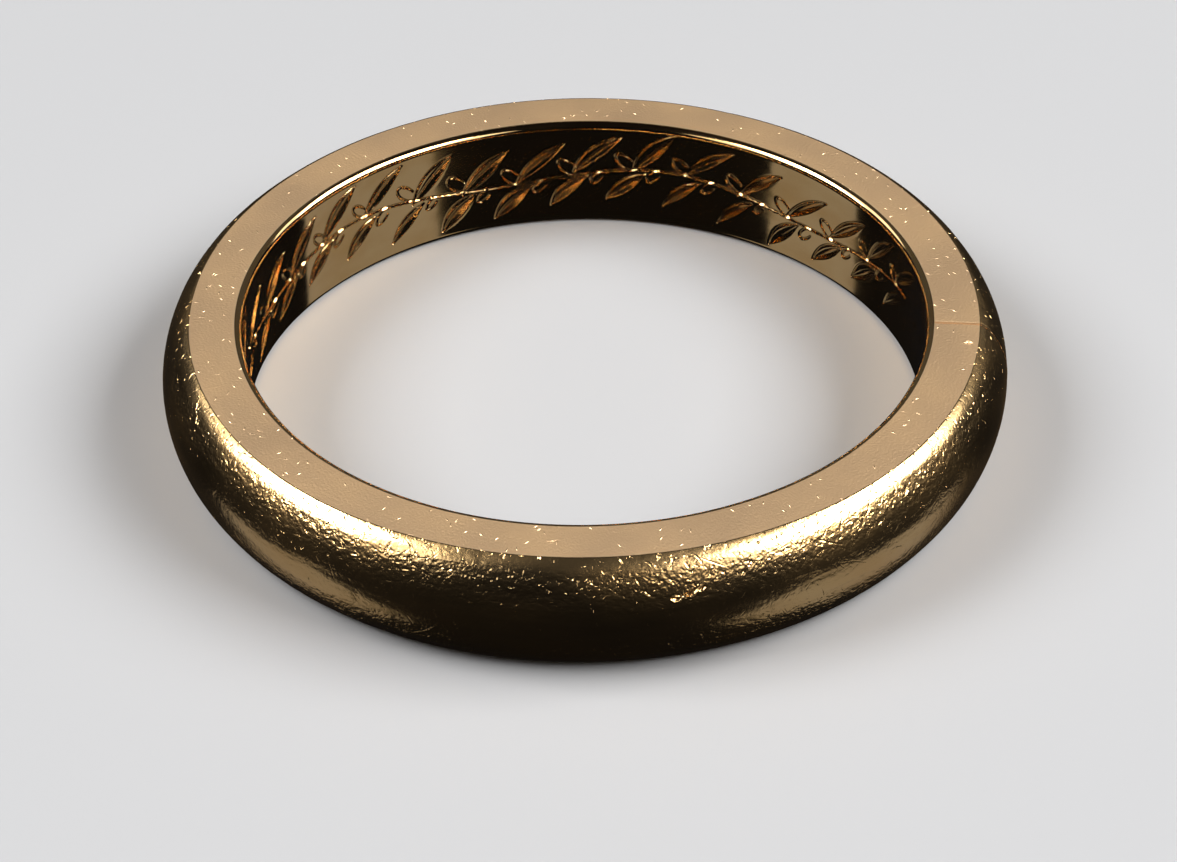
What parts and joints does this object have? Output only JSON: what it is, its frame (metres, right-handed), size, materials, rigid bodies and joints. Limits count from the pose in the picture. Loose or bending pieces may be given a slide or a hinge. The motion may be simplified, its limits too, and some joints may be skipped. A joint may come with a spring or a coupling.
{
  "type": "wedding band",
  "caption": "D-section gold finger ring with flat sides, closed by a fine soldered seam and hand engraved inside with a spray of leaves.",
  "frame": {"origin": "centre of the lower side face, on the axis of the finger hole", "axes": "+Z along the finger hole; the solder seam is near +X"},
  "size_m": [0.0218, 0.0218, 0.0032],
  "materials": {
    "gold": "matte flat sides, worn satin crown, polished and leaf-engraved inside",
    "solder": "filed flush, slightly redder than the band"
  },
  "bodies": {
    "root": {"band": "gold", "solder_seam": "solder"}
  },
  "joints": []
}
